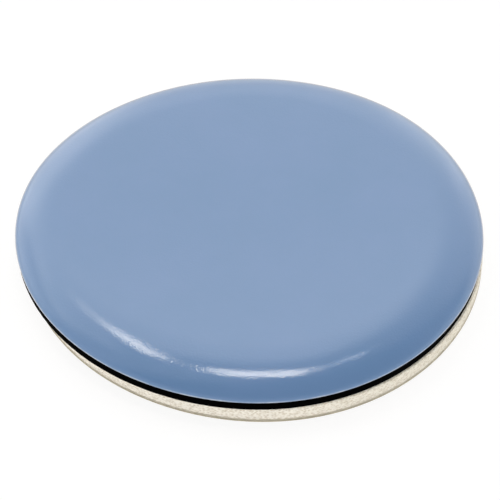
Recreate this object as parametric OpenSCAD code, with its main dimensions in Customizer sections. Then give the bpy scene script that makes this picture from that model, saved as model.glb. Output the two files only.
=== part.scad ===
// Stick-on furniture slider, lying glide face up on its release paper.
// A pressed glide cap is cemented over a rubber core, and a disc of double-coated foam tape
// under the core holds the slider to the foot of a chair or table.

/* [Glide cap] */
// Diameter across the cap's lip
cap_d = 50; // [30:0.5:75]
// Height of the cap, from its lip to the glide face
cap_h = 2.1; // [1.6:0.1:5]
// Width of the rounded shoulder, from the lip in to the edge of the flat glide face
shoulder_w = 5.8; // [2.5:0.1:10]
// Wall of the pressed sheet
cap_wall = 1; // [0.6:0.05:1.4]

/* [Bond film] */
// Thickness of the cement between the cap and the rubber core
bond_t = 0.1; // [0.05:0.01:0.15]

/* [Rubber core] */
// Height of the rubber band that shows below the lip
band_h = 1.05; // [0.6:0.05:3]
// How far the band stands back from the lip
band_inset = 0.1; // [0.05:0.05:0.5]

/* [Foam tape] */
// How far the edge of the tape and its paper stands back from the lip
tape_inset = 0.45; // [0.2:0.05:2]
// How far the tape lies off the cap's axis, along X
tape_shift = 0.45; // [0:0.05:0.6]
// Thickness of the foam
foam_t = 1.7; // [0.8:0.1:4]
// Thickness of the adhesive coat that holds the rubber core
top_adhesive_t = 0.1; // [0.05:0.01:0.2]
// Thickness of the adhesive coat that holds the furniture
base_adhesive_t = 0.1; // [0.05:0.01:0.2]

/* [Release liner] */
// Thickness of the paper
liner_t = 0.15; // [0.08:0.01:0.3]

/* [Hidden] */

// Straight steps along the shoulder's curve, and around each disc
shoulder_steps = 24;
$fn = 180;

// Radii of the three edges
cap_r = cap_d / 2;
band_r = cap_r - band_inset;
tape_r = cap_r - tape_inset;

// Underside of each layer, counted up from the paper
base_adhesive_z = liner_t;
foam_z = base_adhesive_z + base_adhesive_t;
top_adhesive_z = foam_z + foam_t;
core_z = top_adhesive_z + top_adhesive_t;
lip_z = core_z + band_h;
glide_z = lip_z + cap_h;

// Centre of the shoulder's quarter ellipse, measured from the axis
shoulder_r = cap_r - shoulder_w;

// Points up the shoulder from the lip to the flat, at a depth below the cap's outer face
function shoulder(depth) = [
    for (step = [0 : shoulder_steps])
        let (turn = 90 * step / shoulder_steps)
        [
            shoulder_r + (shoulder_w - depth) * cos(turn),
            lip_z + (cap_h - depth) * sin(turn)
        ]
];

// The same points run the other way
function reversed(points) = [for (i = [len(points) - 1 : -1 : 0]) points[i]];

// A domed shell between two depths below the cap's outer face, open at the lip
module domed_shell(outer, inner) {
    rotate_extrude()
        polygon(concat(
            shoulder(outer),
            [[0, glide_z - outer], [0, glide_z - inner]],
            reversed(shoulder(inner))
        ));
}

// One layer of the tape, off the cap's axis by the tape's shift
module tape_disc(bottom, thickness) {
    translate([tape_shift, 0, bottom])
        cylinder(h = thickness, r = tape_r);
}

// Low-friction cap: sheet pressed into a shallow dome with a flat glide face
module glide_cap() {
    color("#8aa2c3")
        domed_shell(0, cap_wall);
}

// Cement over the whole inside of the cap
module cap_bond_film() {
    color("#b9a878")
        domed_shell(cap_wall, cap_wall + bond_t);
}

// Rubber puck: a band that carries the lip, and a dome that fills the cap
module rubber_core() {
    dome_depth = cap_wall + bond_t;
    color("#161415")
        rotate_extrude()
            polygon(concat(
                [[0, core_z], [band_r, core_z], [band_r, lip_z]],
                shoulder(dome_depth),
                [[0, glide_z - dome_depth]]
            ));
}

// Adhesive coat between the foam and the rubber core
module tape_top_adhesive() {
    color("#d8cfb4")
        tape_disc(top_adhesive_z, top_adhesive_t);
}

// Foam carrier of the tape
module foam_tape() {
    color("#e2dbcc")
        tape_disc(foam_z, foam_t);
}

// Adhesive coat that sticks to the furniture once the paper is off
module tape_base_adhesive() {
    color("#d8cfb4")
        tape_disc(base_adhesive_z, base_adhesive_t);
}

// Release paper, cut with the tape
module release_liner() {
    color("#cfc4a8")
        tape_disc(0, liner_t);
}

release_liner();
tape_base_adhesive();
foam_tape();
tape_top_adhesive();
rubber_core();
cap_bond_film();
glide_cap();
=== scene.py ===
import math

import bmesh
import bpy
from mathutils import Matrix, Vector


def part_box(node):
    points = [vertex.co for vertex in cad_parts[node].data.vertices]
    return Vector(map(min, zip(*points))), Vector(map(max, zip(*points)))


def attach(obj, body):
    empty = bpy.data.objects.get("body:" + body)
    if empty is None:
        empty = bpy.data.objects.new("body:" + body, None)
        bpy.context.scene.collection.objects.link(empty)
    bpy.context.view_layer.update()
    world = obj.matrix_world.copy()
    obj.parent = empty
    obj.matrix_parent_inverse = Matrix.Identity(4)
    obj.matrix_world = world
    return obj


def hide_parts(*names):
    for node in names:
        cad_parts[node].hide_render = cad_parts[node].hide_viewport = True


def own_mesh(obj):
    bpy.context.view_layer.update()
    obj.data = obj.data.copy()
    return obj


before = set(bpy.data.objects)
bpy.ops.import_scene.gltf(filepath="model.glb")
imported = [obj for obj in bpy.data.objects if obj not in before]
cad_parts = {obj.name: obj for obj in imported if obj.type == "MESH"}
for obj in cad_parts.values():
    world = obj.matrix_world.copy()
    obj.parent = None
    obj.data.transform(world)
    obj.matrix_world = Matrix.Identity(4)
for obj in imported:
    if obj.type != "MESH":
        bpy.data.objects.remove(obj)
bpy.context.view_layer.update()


# Release paper: a disc of tan glassine with a silicone face, cut in one stroke with the tape above it.
# The slider is sold lying on it, and it is peeled off before the slider is stuck under a chair leg.
# The cutters were a little worn: every layer of the slider has the same three faint corners.
MM = 0.001
cap_low, cap_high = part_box("glide_cap")
cap_radius = cap_high.x
trim_share = 0.9882
corner_rise = 0.44 * MM
first_corner = math.radians(46.6)
cap_centre = Vector((0.10, 0.14, 0)) * MM
tape_centre = cap_centre + Vector((0.53, -0.09, 0)) * MM


def select_where(piece, parts, test):
    """Selects the vertices, edges or faces of a piece that pass a test, in edit mode."""
    modes = {"verts": "VERT", "edges": "EDGE", "faces": "FACE"}
    bpy.ops.mesh.select_mode(type=modes[parts])
    bpy.ops.mesh.select_all(action="DESELECT")
    shape = bmesh.from_edit_mesh(piece.data)
    for part in getattr(shape, parts):
        part.select_set(test(part))
    shape.select_flush_mode()
    bmesh.update_edit_mesh(piece.data)


def turn_piece(name, centre, steps, profile):
    """Models a closed round layer by (radius, height) points, from its underside up round its edge."""
    bpy.ops.object.select_all(action="DESELECT")
    first_radius, first_height = profile[0]
    radius = first_radius * trim_share
    place = Vector((centre.x, centre.y, first_height))
    bpy.ops.mesh.primitive_circle_add(vertices=steps, radius=radius, fill_type="TRIFAN", location=place)
    piece = bpy.context.object
    piece.name = name
    bpy.ops.object.transform_apply(location=True)
    bpy.ops.object.mode_set(mode="EDIT")
    for corner in range(3):
        turn = first_corner + corner * math.tau / 3
        outward = Vector((math.cos(turn), math.sin(turn), 0))
        tip = place + outward * radius
        step_length = math.tau * radius / steps
        reach = 0.6 * step_length
        select_where(piece, "verts", lambda vertex: (vertex.co - tip).length < reach)
        bpy.ops.transform.translate(
            value=outward * corner_rise * first_radius / cap_radius,
            use_proportional_edit=True, proportional_edit_falloff="SMOOTH", proportional_size=radius,
        )
    select_where(piece, "edges", lambda edge: len(edge.link_faces) == 1)
    radius, height = first_radius, first_height
    for next_radius, next_height in profile[1:]:
        bpy.ops.mesh.extrude_region_move(TRANSFORM_OT_translate={"value": (0, 0, next_height - height)})
        share = next_radius / radius
        ring_centre = (centre.x, centre.y, next_height)
        bpy.ops.transform.resize(value=(share, share, 1), center_override=ring_centre)
        radius, height = next_radius, next_height
    bpy.ops.mesh.merge(type="CENTER")
    bpy.ops.mesh.select_all(action="SELECT")
    bpy.ops.mesh.normals_make_consistent(inside=False)
    bpy.ops.object.mode_set(mode="OBJECT")
    return piece


def finish_piece(piece, material, crease_degrees):
    """Gives a piece its material and smooth faces, with a crease where it turns sharply."""
    piece.data.materials.clear()
    piece.data.materials.append(material)
    bpy.ops.object.select_all(action="DESELECT")
    piece.select_set(True)
    bpy.context.view_layer.objects.active = piece
    bpy.ops.object.shade_smooth_by_angle(angle=math.radians(crease_degrees))


def linear(hex_colour):
    """Turns an sRGB hex colour into the linear colour that a shader takes."""
    parts = [int(hex_colour[i:i + 2], 16) / 255 for i in (1, 3, 5)]
    return [p / 12.92 if p <= 0.04045 else ((p + 0.055) / 1.055) ** 2.4 for p in parts] + [1]


def new_material(name):
    """Starts a node material and returns it with its node tree and its shader."""
    material = bpy.data.materials.new(name)
    material.use_nodes = True
    return material, material.node_tree, material.node_tree.nodes["Principled BSDF"]


def add_node(tree, kind, inputs, **settings):
    """Adds a node with its settings, and sets or links its inputs by name or number."""
    node = tree.nodes.new(kind)
    for name, value in settings.items():
        setattr(node, name, value)
    for name, value in inputs.items():
        if isinstance(value, bpy.types.NodeSocket):
            tree.links.new(value, node.inputs[name])
        else:
            node.inputs[name].default_value = value
    return node


def set_tones(ramp, *stops):
    """Sets a colour ramp's two ends, each a position and an sRGB hex colour."""
    for element, (position, hex_colour) in zip(ramp.color_ramp.elements, stops):
        element.position = position
        element.color = linear(hex_colour)


paper_low, paper_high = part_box("release_liner")
cutter_spread = 0.05 * MM
tape_radius = (paper_high.x - paper_low.x) / 2 + cutter_spread
tape_middle = tape_radius * 0.5
paper_edge = 0.02 * MM
paper_steps = 360
paper = turn_piece("release_paper", tape_centre, paper_steps, [
    (tape_middle, paper_low.z),
    (tape_radius - paper_edge, paper_low.z),
    (tape_radius, paper_low.z + paper_edge),
    (tape_radius, paper_high.z - paper_edge),
    (tape_radius - paper_edge, paper_high.z),
    (tape_middle, paper_high.z),
])

# Glassine is calendered kraft: tan with faint darker fibres, and its silicone face shines.
glassine, tree, shader = new_material("silicone_coated_glassine")
place = add_node(tree, "ShaderNodeTexCoord", {})
fibre_length = 1.6 * MM
fibres = add_node(tree, "ShaderNodeTexNoise", {
    "Vector": place.outputs["Object"], "Scale": 1 / fibre_length,
    "Detail": 6, "Roughness": 0.7, "Distortion": 1.5,
})
tone = add_node(tree, "ShaderNodeValToRGB", {"Fac": fibres.outputs["Fac"]})
set_tones(tone, (0.35, "#B8AE95"), (0.65, "#D0C6AE"))
tree.links.new(tone.outputs["Color"], shader.inputs["Base Color"])
relief = add_node(tree, "ShaderNodeBump", {
    "Height": fibres.outputs["Fac"], "Strength": 0.5, "Distance": 0.02 * MM,
})
tree.links.new(relief.outputs["Normal"], shader.inputs["Normal"])
shader.inputs["Roughness"].default_value = 0.45
shader.inputs["IOR"].default_value = 1.45
finish_piece(paper, glassine, crease_degrees=40)
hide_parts("release_liner")
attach(paper, "liner")


# Adhesive coats: clear acrylic glue, cast on both faces of the foam before the discs are cut.
# Only their edges show until the paper is off, as thin shiny lines above and below the foam.

# Acrylic glue over foam: clear, so the cream comes through, and wet-looking with a slight ripple.
acrylic, tree, shader = new_material("acrylic_adhesive")
place = add_node(tree, "ShaderNodeTexCoord", {})
ripple = 0.9 * MM
coating = add_node(tree, "ShaderNodeTexNoise", {
    "Vector": place.outputs["Object"], "Scale": 1 / ripple, "Detail": 3, "Roughness": 0.5,
})
tone = add_node(tree, "ShaderNodeValToRGB", {"Fac": coating.outputs["Fac"]})
set_tones(tone, (0.3, "#E2DAC6"), (0.7, "#F1EADA"))
tree.links.new(tone.outputs["Color"], shader.inputs["Base Color"])
relief = add_node(tree, "ShaderNodeBump", {
    "Height": coating.outputs["Fac"], "Strength": 0.6, "Distance": 0.03 * MM,
})
tree.links.new(relief.outputs["Normal"], shader.inputs["Normal"])
shader.inputs["Roughness"].default_value = 0.22
shader.inputs["IOR"].default_value = 1.47

coat_steps = 360
coat_bulge = 0.03 * MM
coat_insets = {"tape_base_adhesive": 0.03 * MM, "tape_top_adhesive": 0.3 * MM}
for node, body in (("tape_base_adhesive", "tape"), ("tape_top_adhesive", "glide")):
    coat_radius = tape_radius - coat_insets[node]
    low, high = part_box(node)
    middle = (low.z + high.z) / 2
    coat = turn_piece(node.replace("tape", "acrylic"), tape_centre, coat_steps, [
        (tape_middle, low.z),
        (coat_radius - coat_bulge, low.z),
        (coat_radius, middle),
        (coat_radius - coat_bulge, high.z),
        (tape_middle, high.z),
    ])
    finish_piece(coat, acrylic, crease_degrees=80)
    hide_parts(node)
    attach(coat, body)


# Foam tape: a disc of cream closed-cell foam, die-cut from a sheet, so its wall shows cut cells.
# It holds the slider to the chair leg, and it gives a little under load.
foam_low, foam_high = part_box("foam_tape")
foam_steps = 1080
foam_rings = 14
foam_edge = 0.06 * MM
foam_round = 0.3 * MM
round_rings = 6
wall_low = foam_low.z + foam_edge
wall_high = foam_high.z - foam_round
foam_profile = [(tape_middle, foam_low.z), (tape_radius - foam_edge, foam_low.z)]
for ring in range(foam_rings):
    foam_profile.append((tape_radius, wall_low + (wall_high - wall_low) * ring / foam_rings))
for ring in range(round_rings + 1):
    turn = math.radians(90 * ring / round_rings)
    foam_profile.append((
        tape_radius - foam_round * (1 - math.cos(turn)),
        wall_high + foam_round * math.sin(turn),
    ))
foam_profile.append((tape_middle, foam_high.z))
foam = turn_piece("foam_tape_pad", tape_centre, foam_steps, foam_profile)


def roughen_edge(piece, centre, radius, grain, depth):
    """Sinks small hollows into a layer's cut edge, as wide as the grain and no deeper than given."""
    bpy.ops.object.mode_set(mode="EDIT")
    edge_reach = 0.2 * MM
    inside = (radius - edge_reach) * trim_share
    select_where(piece, "verts", lambda vertex: (vertex.co - centre).to_2d().length > inside)
    edge_group = piece.vertex_groups.new(name="cut_edge")
    bpy.ops.object.vertex_group_assign()
    bpy.ops.object.mode_set(mode="OBJECT")
    hollows = bpy.data.textures.new(piece.name + "_hollows", "CLOUDS")
    hollows.noise_scale = grain
    hollows.noise_depth = 2
    cut = piece.modifiers.new("cut_edge", "DISPLACE")
    cut.texture = hollows
    cut.texture_coords = "LOCAL"
    cut.vertex_group = edge_group.name
    cut.mid_level = 1
    cut.strength = depth
    bpy.ops.object.modifier_apply(modifier=cut.name)


roughen_edge(foam, tape_centre, tape_radius, grain=0.45 * MM, depth=0.12 * MM)

# Cut polyethylene foam: cream, quite matt, with small pits where the cells are open, their darkness
# painted shade.
# It is greyed a little towards one side, and that greying is painted shade.
foam_cream, tree, shader = new_material("die_cut_polyethylene_foam")
place = add_node(tree, "ShaderNodeTexCoord", {})
along = add_node(tree, "ShaderNodeMapping", {"Vector": place.outputs["Object"], "Scale": (1, 1, 1.6)})
cell = 0.3 * MM
cells = add_node(tree, "ShaderNodeTexVoronoi", {
    "Vector": along.outputs["Vector"], "Scale": 1 / cell, "Randomness": 1,
}, feature="F1")
fleck = 0.6 * MM
flecks = add_node(tree, "ShaderNodeTexNoise", {
    "Vector": along.outputs["Vector"], "Scale": 1 / fleck,
    "Detail": 6, "Roughness": 0.65, "Distortion": 0.8,
})
pits = add_node(tree, "ShaderNodeMath", {
    0: cells.outputs["Distance"], 1: flecks.outputs["Fac"],
}, operation="MULTIPLY")
# The darker tone in the pits is painted shade; the same pattern also drives the bump.
tone = add_node(tree, "ShaderNodeValToRGB", {"Fac": pits.outputs["Value"]})
set_tones(tone, (0.05, "#DDD2BE"), (0.32, "#FDF7EA"))
# Painted shade: the foam greys towards +X, the side the lamps light less.
around = add_node(tree, "ShaderNodeSeparateXYZ", {"Vector": place.outputs["Object"]})
painted_shade_share = add_node(tree, "ShaderNodeMapRange", {
    "Value": around.outputs["X"], "From Min": 4 * MM, "From Max": 16 * MM,
    "To Min": 0.0, "To Max": 0.75,
})
painted_shade_mix = add_node(tree, "ShaderNodeMix", {
    "Factor": painted_shade_share.outputs["Result"], 6: tone.outputs["Color"], 7: linear("#EFEFEC"),
}, data_type="RGBA", blend_type="MULTIPLY")
tree.links.new(painted_shade_mix.outputs[2], shader.inputs["Base Color"])
relief = add_node(tree, "ShaderNodeBump", {
    "Height": pits.outputs["Value"], "Strength": 0.7, "Distance": 0.05 * MM,
})
tree.links.new(relief.outputs["Normal"], shader.inputs["Normal"])
shader.inputs["Roughness"].default_value = 0.85
shader.inputs["IOR"].default_value = 1.3
finish_piece(foam, foam_cream, crease_degrees=50)
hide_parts("foam_tape")
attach(foam, "tape")
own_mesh(foam)


# Rubber core: a black moulded puck that fills the cap, trimmed flush under its lip.
# The trimmed edge is the black band that shows all round below the cap.
core_low, core_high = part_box("rubber_core")
lip_z = cap_low.z
shoulder_width = 5.8 * MM
core_spread = 0.02 * MM
core_radius = core_high.x + core_spread
core_middle = core_radius * 0.5
core_crown = core_radius * 0.4
core_depth = cap_high.z - core_high.z
core_steps = 720
hidden_rings = 24


def shoulder(depth, rings):
    """Gives (radius, height) points up the cap's shoulder, at a depth below its outer face."""
    points = []
    for ring in range(rings + 1):
        turn = math.radians(90 * ring / rings)
        points.append((
            cap_radius - shoulder_width + (shoulder_width - depth) * math.cos(turn),
            lip_z + (cap_high.z - lip_z - depth) * math.sin(turn),
        ))
    return points


band_rings = 10
band_edge = 0.02 * MM
band_low = core_low.z + band_edge
band_high = lip_z - band_edge
core_profile = [(core_middle, core_low.z), (core_radius - band_edge, core_low.z)]
for ring in range(band_rings + 1):
    core_profile.append((core_radius, band_low + (band_high - band_low) * ring / band_rings))
core_profile.append((core_radius - band_edge, lip_z))
core_profile += shoulder(core_depth, hidden_rings)
core_profile.append((core_crown, core_high.z))
core = turn_piece("rubber_puck", cap_centre, core_steps, core_profile)
roughen_edge(core, cap_centre, core_radius, grain=0.5 * MM, depth=0.04 * MM)

# Carbon-black rubber: almost no light comes back, only a dull grey from the grit of the cut.
rubber, tree, shader = new_material("black_moulded_rubber")
place = add_node(tree, "ShaderNodeTexCoord", {})
grit = 0.25 * MM
cut_grit = add_node(tree, "ShaderNodeTexNoise", {
    "Vector": place.outputs["Object"], "Scale": 1 / grit, "Detail": 4, "Roughness": 0.6,
})
tone = add_node(tree, "ShaderNodeValToRGB", {"Fac": cut_grit.outputs["Fac"]})
set_tones(tone, (0.45, "#010101"), (0.8, "#060606"))
tree.links.new(tone.outputs["Color"], shader.inputs["Base Color"])
relief = add_node(tree, "ShaderNodeBump", {
    "Height": cut_grit.outputs["Fac"], "Strength": 0.6, "Distance": 0.03 * MM,
})
tree.links.new(relief.outputs["Normal"], shader.inputs["Normal"])
shader.inputs["Roughness"].default_value = 0.7
shader.inputs["IOR"].default_value = 1.5
shader.inputs["Specular IOR Level"].default_value = 0.005
finish_piece(core, rubber, crease_degrees=50)
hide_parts("rubber_core")
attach(core, "glide")


# Cement film: contact cement, brushed over the whole inside of the cap before the rubber goes in.
# It is shut in between the two and never shows, so its solid is kept as it is.

# Dried contact cement: amber, with a dull gloss and broad brush streaks.
cement, tree, shader = new_material("contact_cement")
place = add_node(tree, "ShaderNodeTexCoord", {})
smear = 2.5 * MM
streaks = add_node(tree, "ShaderNodeTexNoise", {
    "Vector": place.outputs["Object"], "Scale": 1 / smear, "Detail": 3, "Roughness": 0.5,
})
tone = add_node(tree, "ShaderNodeValToRGB", {"Fac": streaks.outputs["Fac"]})
set_tones(tone, (0.0, "#A08A52"), (1.0, "#C4B07A"))
tree.links.new(tone.outputs["Color"], shader.inputs["Base Color"])
shader.inputs["Roughness"].default_value = 0.3
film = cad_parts["cap_bond_film"]
film.data.materials.clear()
film.data.materials.append(cement)


# Glide cap: low-friction sheet, pressed hot over the rubber into a shallow dome with a flat top.
# It is the face that runs on the floor, and its trimmed lip stands a little proud of the rubber.
film_low, film_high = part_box("cap_bond_film")
cap_wall = cap_high.z - film_high.z
flat_radius = cap_radius - shoulder_width
flat_middle = flat_radius * 0.5
flat_rings = 8
shoulder_rings = 60
cap_steps = 360
lip_edge = 0.05 * MM
lip_top = lip_z + 1.5 * lip_edge
cap_profile = [(flat_middle, cap_high.z - cap_wall)]
cap_profile += shoulder(cap_wall, hidden_rings)[::-1]
cap_profile += [(cap_radius - lip_edge, lip_z), (cap_radius, lip_z + lip_edge)]
cap_profile += [point for point in shoulder(0, shoulder_rings) if point[1] > lip_top]
for ring in range(1, flat_rings):
    cap_profile.append((flat_radius * (1 - ring / flat_rings), cap_high.z))
cap = turn_piece("glide_cap_sheet", cap_centre, cap_steps, cap_profile)

# Pigmented fluoropolymer sheet: an even grey blue with a waxy gloss, and a patchy painted highlight
# along its lip.
# Its sintered grain breaks up the highlights, drawn coarser than it is so that it shows, and a thin
# haze on the skin looks pale where the sheet is seen edge-on.
sheet_blue, tree, shader = new_material("pigmented_fluoropolymer_sheet")
place = add_node(tree, "ShaderNodeTexCoord", {})
cloud = 7 * MM
pigment = add_node(tree, "ShaderNodeTexNoise", {
    "Vector": place.outputs["Object"], "Scale": 1 / cloud, "Detail": 5, "Roughness": 0.55,
})
tone = add_node(tree, "ShaderNodeValToRGB", {"Fac": pigment.outputs["Fac"]})
set_tones(tone, (0.3, "#6A8EBA"), (0.7, "#6E90BD"))
level = add_node(tree, "ShaderNodeSeparateXYZ", {"Vector": place.outputs["Object"]})
# Painted highlight: a patchy pale band along the cut lip, for the bright line along its edge.
cut_edge = add_node(tree, "ShaderNodeMapRange", {
    "Value": level.outputs["Z"], "From Min": lip_z + 0.08 * MM, "From Max": lip_z + 0.24 * MM,
    "To Min": 1.0, "To Max": 0.0,
})
highlight_patch_size = 1.4 * MM
highlight_patches = add_node(tree, "ShaderNodeTexNoise", {
    "Vector": place.outputs["Object"], "Scale": 1 / highlight_patch_size, "Detail": 3, "Roughness": 0.6,
})
patchy_highlight = add_node(tree, "ShaderNodeMapRange", {
    "Value": highlight_patches.outputs["Fac"], "From Min": 0.35, "From Max": 0.65, "To Min": 0.3, "To Max": 1.0,
})
lip_highlight_share = add_node(tree, "ShaderNodeMath", {
    0: cut_edge.outputs["Result"], 1: patchy_highlight.outputs["Result"],
}, operation="MULTIPLY")
coloured = add_node(tree, "ShaderNodeMix", {
    "Factor": lip_highlight_share.outputs["Value"], 6: tone.outputs["Color"], 7: linear("#C3CEDC"),
}, data_type="RGBA")
tree.links.new(coloured.outputs[2], shader.inputs["Base Color"])
sinter = 0.22 * MM
skin = add_node(tree, "ShaderNodeTexNoise", {
    "Vector": place.outputs["Object"], "Scale": 1 / sinter, "Detail": 1, "Roughness": 0.5,
})
relief = add_node(tree, "ShaderNodeBump", {
    "Height": skin.outputs["Fac"], "Strength": 1.0, "Distance": 0.012 * MM,
})
tree.links.new(relief.outputs["Normal"], shader.inputs["Normal"])
shader.inputs["Roughness"].default_value = 0.065
shader.inputs["IOR"].default_value = 1.5
shader.inputs["Sheen Weight"].default_value = 0.8
shader.inputs["Sheen Roughness"].default_value = 0.35
shader.inputs["Sheen Tint"].default_value = linear("#FFF3DC")
finish_piece(cap, sheet_blue, crease_degrees=60)
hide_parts("glide_cap")
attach(cap, "glide")


# Table: a sheet of white card that runs out of sight, as white far off as it is close by. It keeps a
# soft shadow where the slider stands and throws light back up at the foam, and it also glows, though it
# is no lamp, to light the foam from below, less of it from behind, where the lamps reach the foam too.
bpy.ops.object.select_all(action="DESELECT")
bpy.ops.mesh.primitive_plane_add(size=4, location=(0, 0, 0))
table = bpy.context.object
table.name = "white_table"

# White card: quite matt, seen as plain white by the eye and in the gloss.
white_card, tree, shader = new_material("white_card")
tree.nodes.clear()
path = add_node(tree, "ShaderNodeLightPath", {})
seen = add_node(tree, "ShaderNodeMath", {
    0: path.outputs["Is Camera Ray"], 1: path.outputs["Is Glossy Ray"],
}, operation="MAXIMUM")
shown = add_node(tree, "ShaderNodeMath", {
    0: seen.outputs["Value"], 1: path.outputs["Is Transmission Ray"],
}, operation="MAXIMUM")
place = add_node(tree, "ShaderNodeTexCoord", {})
around = add_node(tree, "ShaderNodeSeparateXYZ", {"Vector": place.outputs["Object"]})
# Painted light: the card glows for the rays that light the slider, though it is no lamp, brighter in
# front.
underglow_strength = add_node(tree, "ShaderNodeMapRange", {
    "Value": around.outputs["Y"], "From Min": -3 * MM, "From Max": 24 * MM,
    "To Min": 0.75, "To Max": 0.4,
}, interpolation_type="SMOOTHSTEP")
away = add_node(tree, "ShaderNodeVectorMath", {0: place.outputs["Object"]}, operation="LENGTH")
whiteness = add_node(tree, "ShaderNodeMapRange", {
    "Value": away.outputs["Value"], "From Min": 150 * MM, "From Max": 900 * MM,
    "To Min": 0.855, "To Max": 0.94,
}, interpolation_type="SMOOTHSTEP")
paper_white = add_node(tree, "ShaderNodeBsdfDiffuse", {"Color": (0.85, 0.85, 0.85, 1)})
underlight = add_node(tree, "ShaderNodeEmission", {
    "Color": (1, 1, 1, 1), "Strength": underglow_strength.outputs["Result"],
})
bounce_and_glow = add_node(tree, "ShaderNodeAddShader", {
    0: paper_white.outputs["BSDF"], 1: underlight.outputs["Emission"],
})
shade = add_node(tree, "ShaderNodeBsdfDiffuse", {"Color": (0.18, 0.18, 0.18, 1)})
glow = add_node(tree, "ShaderNodeEmission", {
    "Color": (1, 1, 1, 1), "Strength": whiteness.outputs["Result"],
})
card = add_node(tree, "ShaderNodeAddShader", {0: shade.outputs["BSDF"], 1: glow.outputs["Emission"]})
mixed = add_node(tree, "ShaderNodeMixShader", {
    0: shown.outputs["Value"], 1: bounce_and_glow.outputs["Shader"], 2: card.outputs["Shader"],
})
add_node(tree, "ShaderNodeOutputMaterial", {"Surface": mixed.outputs["Shader"]})
table.data.materials.append(white_card)


# Room: white walls behind and to the left, dimmer towards the front, and pale low down all round.
# Matt faces get an even fill from it, glossy ones mirror its walls, and the eye sees plain white.
room = bpy.data.worlds.new("white_room")
bpy.context.scene.world = room
room.use_nodes = True
tree = room.node_tree
tree.nodes.clear()
path = add_node(tree, "ShaderNodeLightPath", {})
seen = add_node(tree, "ShaderNodeMath", {
    0: path.outputs["Is Glossy Ray"], 1: path.outputs["Is Transmission Ray"],
}, operation="MAXIMUM")
direction = add_node(tree, "ShaderNodeTexCoord", {})
towards_wall = add_node(tree, "ShaderNodeVectorMath", {
    0: direction.outputs["Generated"], 1: (-0.6, 1, 0),
}, operation="DOT_PRODUCT")
wall_light = add_node(tree, "ShaderNodeMapRange", {
    "Value": towards_wall.outputs["Value"], "From Min": -0.25, "From Max": 0.2,
    "To Min": 0.2, "To Max": 1.0,
}, interpolation_type="SMOOTHSTEP")
height = add_node(tree, "ShaderNodeSeparateXYZ", {"Vector": direction.outputs["Generated"]})
foot_light = add_node(tree, "ShaderNodeMapRange", {
    "Value": height.outputs["Z"], "From Min": 0.22, "From Max": 0.42,
    "To Min": 0.75, "To Max": 0.0,
}, interpolation_type="SMOOTHSTEP")
room_light = add_node(tree, "ShaderNodeMath", {
    0: wall_light.outputs["Result"], 1: foot_light.outputs["Result"],
}, operation="MAXIMUM")
fill = add_node(tree, "ShaderNodeBackground", {"Color": (1, 1, 1, 1), "Strength": 0.43})
walls = add_node(tree, "ShaderNodeBackground", {
    "Color": (1, 1, 1, 1), "Strength": room_light.outputs["Value"],
})
white = add_node(tree, "ShaderNodeBackground", {"Color": (1, 1, 1, 1), "Strength": 1.0})
lit = add_node(tree, "ShaderNodeMixShader", {
    0: seen.outputs["Value"], 1: fill.outputs["Background"], 2: walls.outputs["Background"],
})
mixed = add_node(tree, "ShaderNodeMixShader", {
    0: path.outputs["Is Camera Ray"], 1: lit.outputs["Shader"], 2: white.outputs["Background"],
})
add_node(tree, "ShaderNodeOutputWorld", {"Surface": mixed.outputs["Shader"]})


# Lamps: two warm strips, overhead and behind to the left, whose reflections lie along the front of the
# shoulder, and wide panels behind. One fill reaches only matt faces, and the cards show only in the
# gloss, where they give the flat its sheen and the rim its pale edge.
lamp_distance = 0.8


def soft_lamp(name, azimuth, elevation, roll, width, height, radiance, fade=0.6):
    """Sets up a soft box that faces the slider, by its direction and roll in degrees.

    Its width and height, in metres, reach to where its light is half, and fade is the share that dims.
    """
    lamp = bpy.data.lights.new(name, "AREA")
    lamp.shape = "RECTANGLE"
    lamp.size = width / (1 - fade / 2)
    lamp.size_y = height / (1 - fade / 2)
    lamp.energy = radiance * math.pi * lamp.size * lamp.size_y
    lamp.use_nodes = True
    tree = lamp.node_tree
    cloth = add_node(tree, "ShaderNodeNewGeometry", {})
    sides = add_node(tree, "ShaderNodeSeparateXYZ", {"Vector": cloth.outputs["Parametric"]})
    shares = []
    for side in ("X", "Y"):
        from_edge = add_node(tree, "ShaderNodeMath", {
            0: sides.outputs[side], 1: 0.5,
        }, operation="PINGPONG")
        shares.append(add_node(tree, "ShaderNodeMapRange", {
            "Value": from_edge.outputs["Value"], "From Min": 0.0, "From Max": fade / 2,
            "To Min": 0.0, "To Max": 1.0,
        }, interpolation_type="SMOOTHSTEP"))
    glow_share = add_node(tree, "ShaderNodeMath", {
        0: shares[0].outputs["Result"], 1: shares[1].outputs["Result"],
    }, operation="MULTIPLY")
    tree.links.new(glow_share.outputs["Value"], tree.nodes["Emission"].inputs["Strength"])
    holder = bpy.data.objects.new(name, lamp)
    bpy.context.scene.collection.objects.link(holder)
    turn = math.radians(azimuth)
    rise = math.radians(elevation)
    towards = Vector((math.cos(rise) * math.cos(turn), math.cos(rise) * math.sin(turn), math.sin(rise)))
    facing = towards.to_track_quat("Z", "Y").to_matrix().to_4x4()
    rolled = facing @ Matrix.Rotation(math.radians(roll), 4, "Z")
    holder.matrix_world = Matrix.Translation(towards * lamp_distance) @ rolled
    holder.visible_camera = False
    return holder


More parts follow.
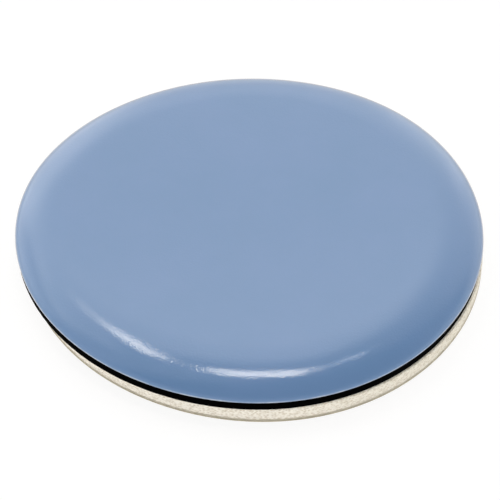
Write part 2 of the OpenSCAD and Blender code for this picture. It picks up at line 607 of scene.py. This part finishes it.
for strip in (
    soft_lamp("overhead_strip", 81, 82, 4, 0.24, 0.095, 13.6, fade=0.5),
    soft_lamp("left_strip", 132.8, 65.3, -32.6, 0.078, 0.17, 10.8, fade=0.5),
    soft_lamp("left_strip_end", 128.4, 55.5, -6, 0.08, 0.1, 1.5),
):
    strip.data.color = linear("#FFF8EE")[:3]
soft_lamp("back_top_panel", 95, 55, 0, 0.52, 0.28, 0.78)
soft_lamp("left_panel", 152, 22, 0, 0.75, 0.75, 0.5)
soft_lamp("left_top_panel", 151, 50, 0, 0.4, 0.36, 0.9)
soft_lamp("right_panel", 30, 22, 0, 0.9, 0.75, 0.3)
back_fill = soft_lamp("back_fill", 92, 58, 0, 0.6, 0.4, 1.1)
back_fill.visible_glossy = False
for gloss_card in (
    soft_lamp("back_panel", 90, 25, 0, 1.16, 0.9, 0.38),
    soft_lamp("left_card", 150, 24, 0, 0.7, 0.7, 0.38),
    soft_lamp("right_card", 30, 22, 0, 0.9, 0.75, 0.35),
    soft_lamp("back_card", 99, 42, 0, 0.75, 0.6, 0.68),
    soft_lamp("top_card", 95, 66, 0, 0.35, 0.14, 0.7),
    soft_lamp("right_glint", 37.3, 69.2, 0, 0.022, 0.045, 18, fade=0.45),
    soft_lamp("horizon_card_right", 42, 10, 0, 0.6, 0.4, 0.35),
    soft_lamp("side_card_right", 66, 13, 0, 0.25, 0.45, 0.6),
    soft_lamp("side_card_left", 118, 13, 0, 0.4, 0.5, 0.95),
    soft_lamp("horizon_card_left", 146, 12, 0, 0.5, 0.4, 0.3),
):
    gloss_card.visible_diffuse = False


# Camera: a long lens, a little under half way up from the table, square to the front of the slider.
# It is tilted by a third of a degree, as a camera held by hand is.
photo_size_px = 500
focal_px = 1504.5
camera_data = bpy.data.cameras.new("camera")
camera_data.sensor_width = 36
camera_data.lens = camera_data.sensor_width * focal_px / photo_size_px
camera_data.clip_start = 0.01
camera = bpy.data.objects.new("camera", camera_data)
bpy.context.scene.collection.objects.link(camera)
rise = math.radians(43.66)
stand_off = 162.79 * MM
aim = cap_centre + Vector((-0.07, 0, -0.79)) * MM
tilt = math.radians(0.375)
camera.location = cap_centre + Vector((0, -math.cos(rise), math.sin(rise))) * stand_off
look = (camera.location - aim).to_track_quat("Z", "Y").to_matrix().to_4x4()
camera.matrix_world = Matrix.Translation(camera.location) @ look @ Matrix.Rotation(tilt, 4, "Z")
bpy.context.scene.camera = camera
bpy.context.scene.view_settings.view_transform = "Standard"
